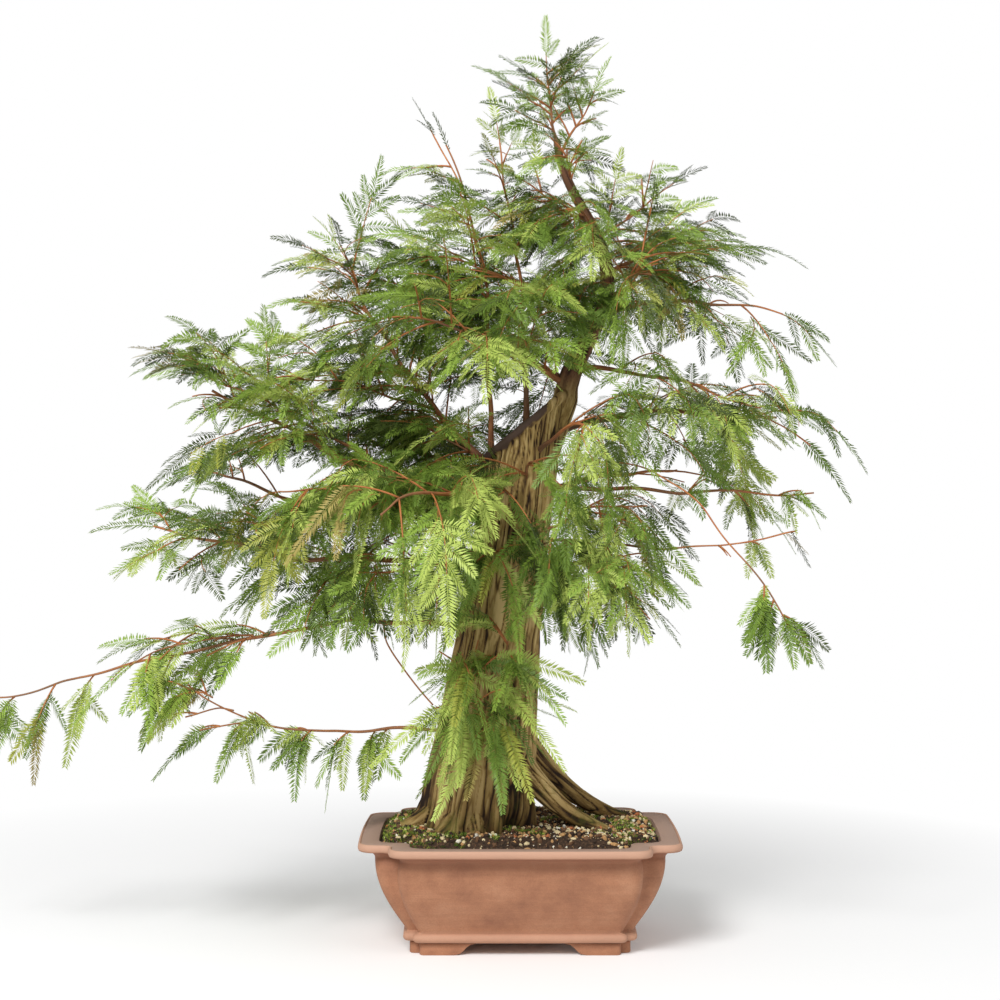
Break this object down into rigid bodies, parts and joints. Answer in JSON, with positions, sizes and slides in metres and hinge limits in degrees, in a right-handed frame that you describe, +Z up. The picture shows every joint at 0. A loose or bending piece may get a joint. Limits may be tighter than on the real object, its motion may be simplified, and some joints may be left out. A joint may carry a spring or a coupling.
{
  "type": "potted bald cypress bonsai",
  "caption": "Bald cypress grown as a bonsai in an unglazed clay pot: flared leaning trunk with a slanting cut top, a slender new leader and feathery drooping sprays of needles.",
  "frame": {"origin": "middle of the whole plant's box in plan, on the surface that the pot's feet stand on", "axes": "+Z up along the plant's height, +X to the right and +Y away as the picture looks at it"},
  "size_m": [0.9786, 0.5865, 1.032],
  "materials": {
    "clay": "matte",
    "earth": "matte",
    "bark": "matte",
    "shoot": "matte",
    "needle": "matte"
  },
  "bodies": {
    "root": {"pot": "clay", "foot_front_left": "clay", "foot_front_right": "clay", "foot_back_left": "clay", "foot_back_right": "clay", "soil": "earth", "trunk": "bark", "bough_lower_left_long": "shoot", "bough_low_left": "shoot", "bough_left_low": "shoot", "bough_left_mid": "shoot", "bough_left_back": "shoot", "bough_upper_left": "shoot", "bough_spire_left": "shoot", "bough_right_upper": "shoot", "bough_right_mid": "shoot", "bough_right_branch": "shoot", "bough_right_long": "shoot", "bough_right_low": "shoot", "bough_right_trailing": "shoot", "bough_bottom_right": "shoot", "bough_front_left": "shoot", "bough_back_left": "shoot", "bough_back_right": "shoot", "bough_back_low": "shoot", "needles_lower_left_long": "needle", "needles_low_left": "needle", "needles_left_low": "needle", "needles_left_mid": "needle", "needles_left_back": "needle", "needles_upper_left": "needle", "needles_spire_left": "needle", "needles_spire_mid": "needle", "needles_apex_left": "needle", "needles_apex_right": "needle", "needles_apex_low": "needle", "needles_apex_side": "needle", "needles_right_top": "needle", "needles_right_upper": "needle", "needles_right_mid": "needle", "needles_right_branch": "needle", "needles_right_long": "needle", "needles_right_low": "needle", "needles_right_trailing": "needle", "needles_bottom_right": "needle", "needles_right_front": "needle", "needles_front": "needle", "needles_front_low": "needle", "needles_left_under": "needle", "needles_front_left": "needle", "needles_front_upper": "needle", "needles_front_top": "needle", "needles_back_left": "needle", "needles_back_right": "needle", "needles_back_low": "needle", "needles_back_upper": "needle", "needles_back_top": "needle"}
  },
  "joints": []
}
